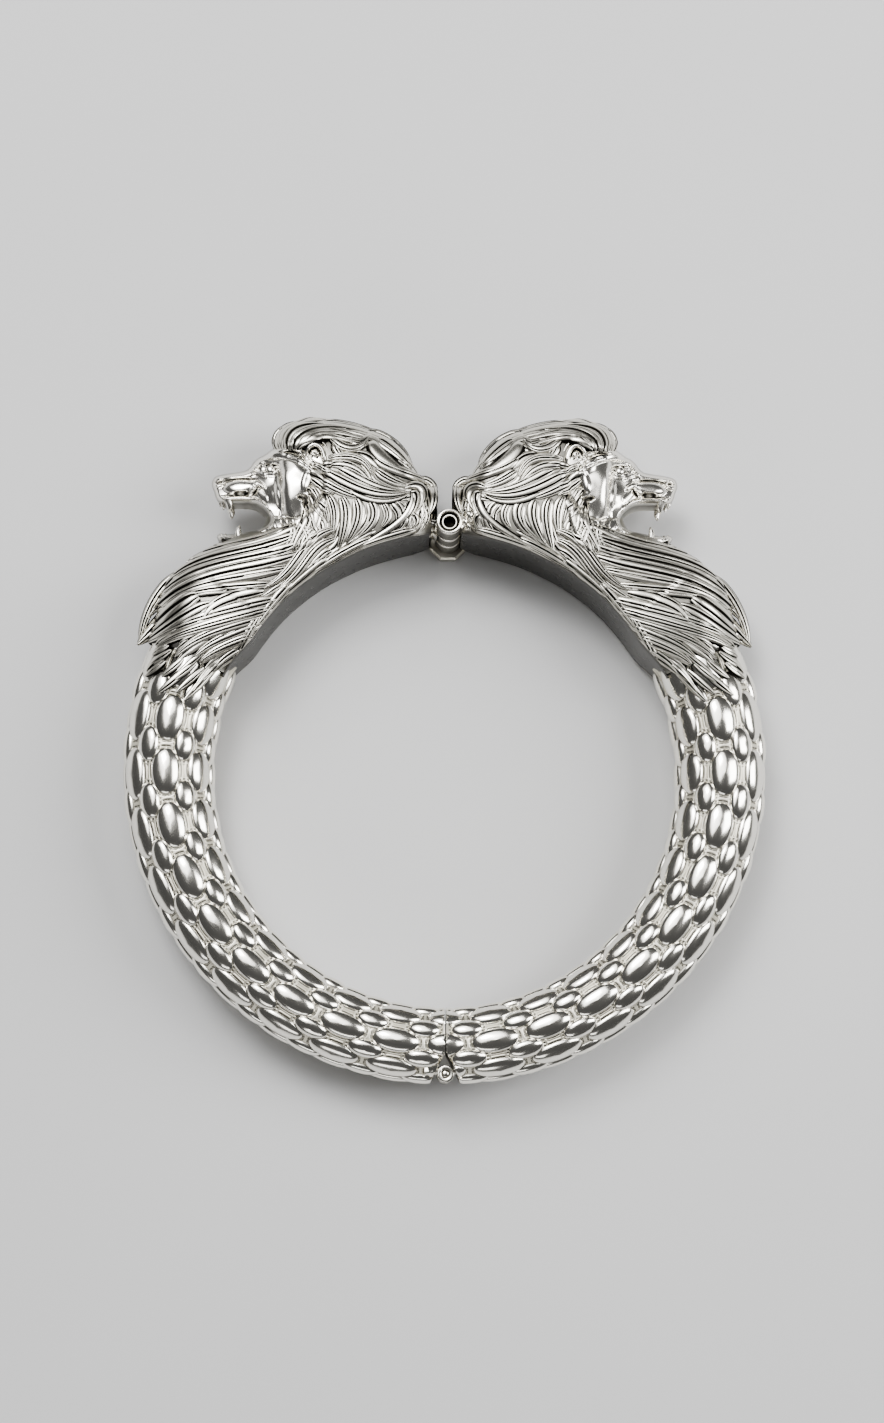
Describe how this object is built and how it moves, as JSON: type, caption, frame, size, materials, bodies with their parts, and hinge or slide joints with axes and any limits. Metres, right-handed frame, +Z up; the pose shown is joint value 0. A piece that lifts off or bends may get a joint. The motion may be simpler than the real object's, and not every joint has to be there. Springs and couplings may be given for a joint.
{
  "type": "kada bangle",
  "caption": "Hinged two-part silver kada bangle with scale-covered tube, facing-away lion head ends and a screw pin clasp.",
  "frame": {"origin": "middle of the wrist opening, on the plane the bangle lies on", "axes": "+Z up out of the plane it lies on and along the wrist, +Y from the back hinge toward the screw clasp and lion heads, +X to the right half"},
  "size_m": [0.0852, 0.0889, 0.0143],
  "materials": {
    "silver_left": "polished silver with darkened recesses",
    "silver_right": "polished silver with darkened recesses",
    "silver_screw": "satin silver",
    "silver_pin": "satin silver"
  },
  "bodies": {
    "left": {"left_half": "silver_left", "hinge_pin": "silver_pin"},
    "right": {"right_half": "silver_right"},
    "screw": {"clasp_screw": "silver_screw"}
  },
  "joints": [
    {"name": "back_hinge", "type": "hinge", "parent": "left", "child": "right", "pos_m": [0, -0.0403, 0.00715], "axis": [0, 0, -1], "range_deg": [0, 60]},
    {"name": "screw_out", "type": "slide", "parent": "left", "child": "screw", "axis": [0, 0, -1], "range_m": [0, 0.0125]}
  ]
}
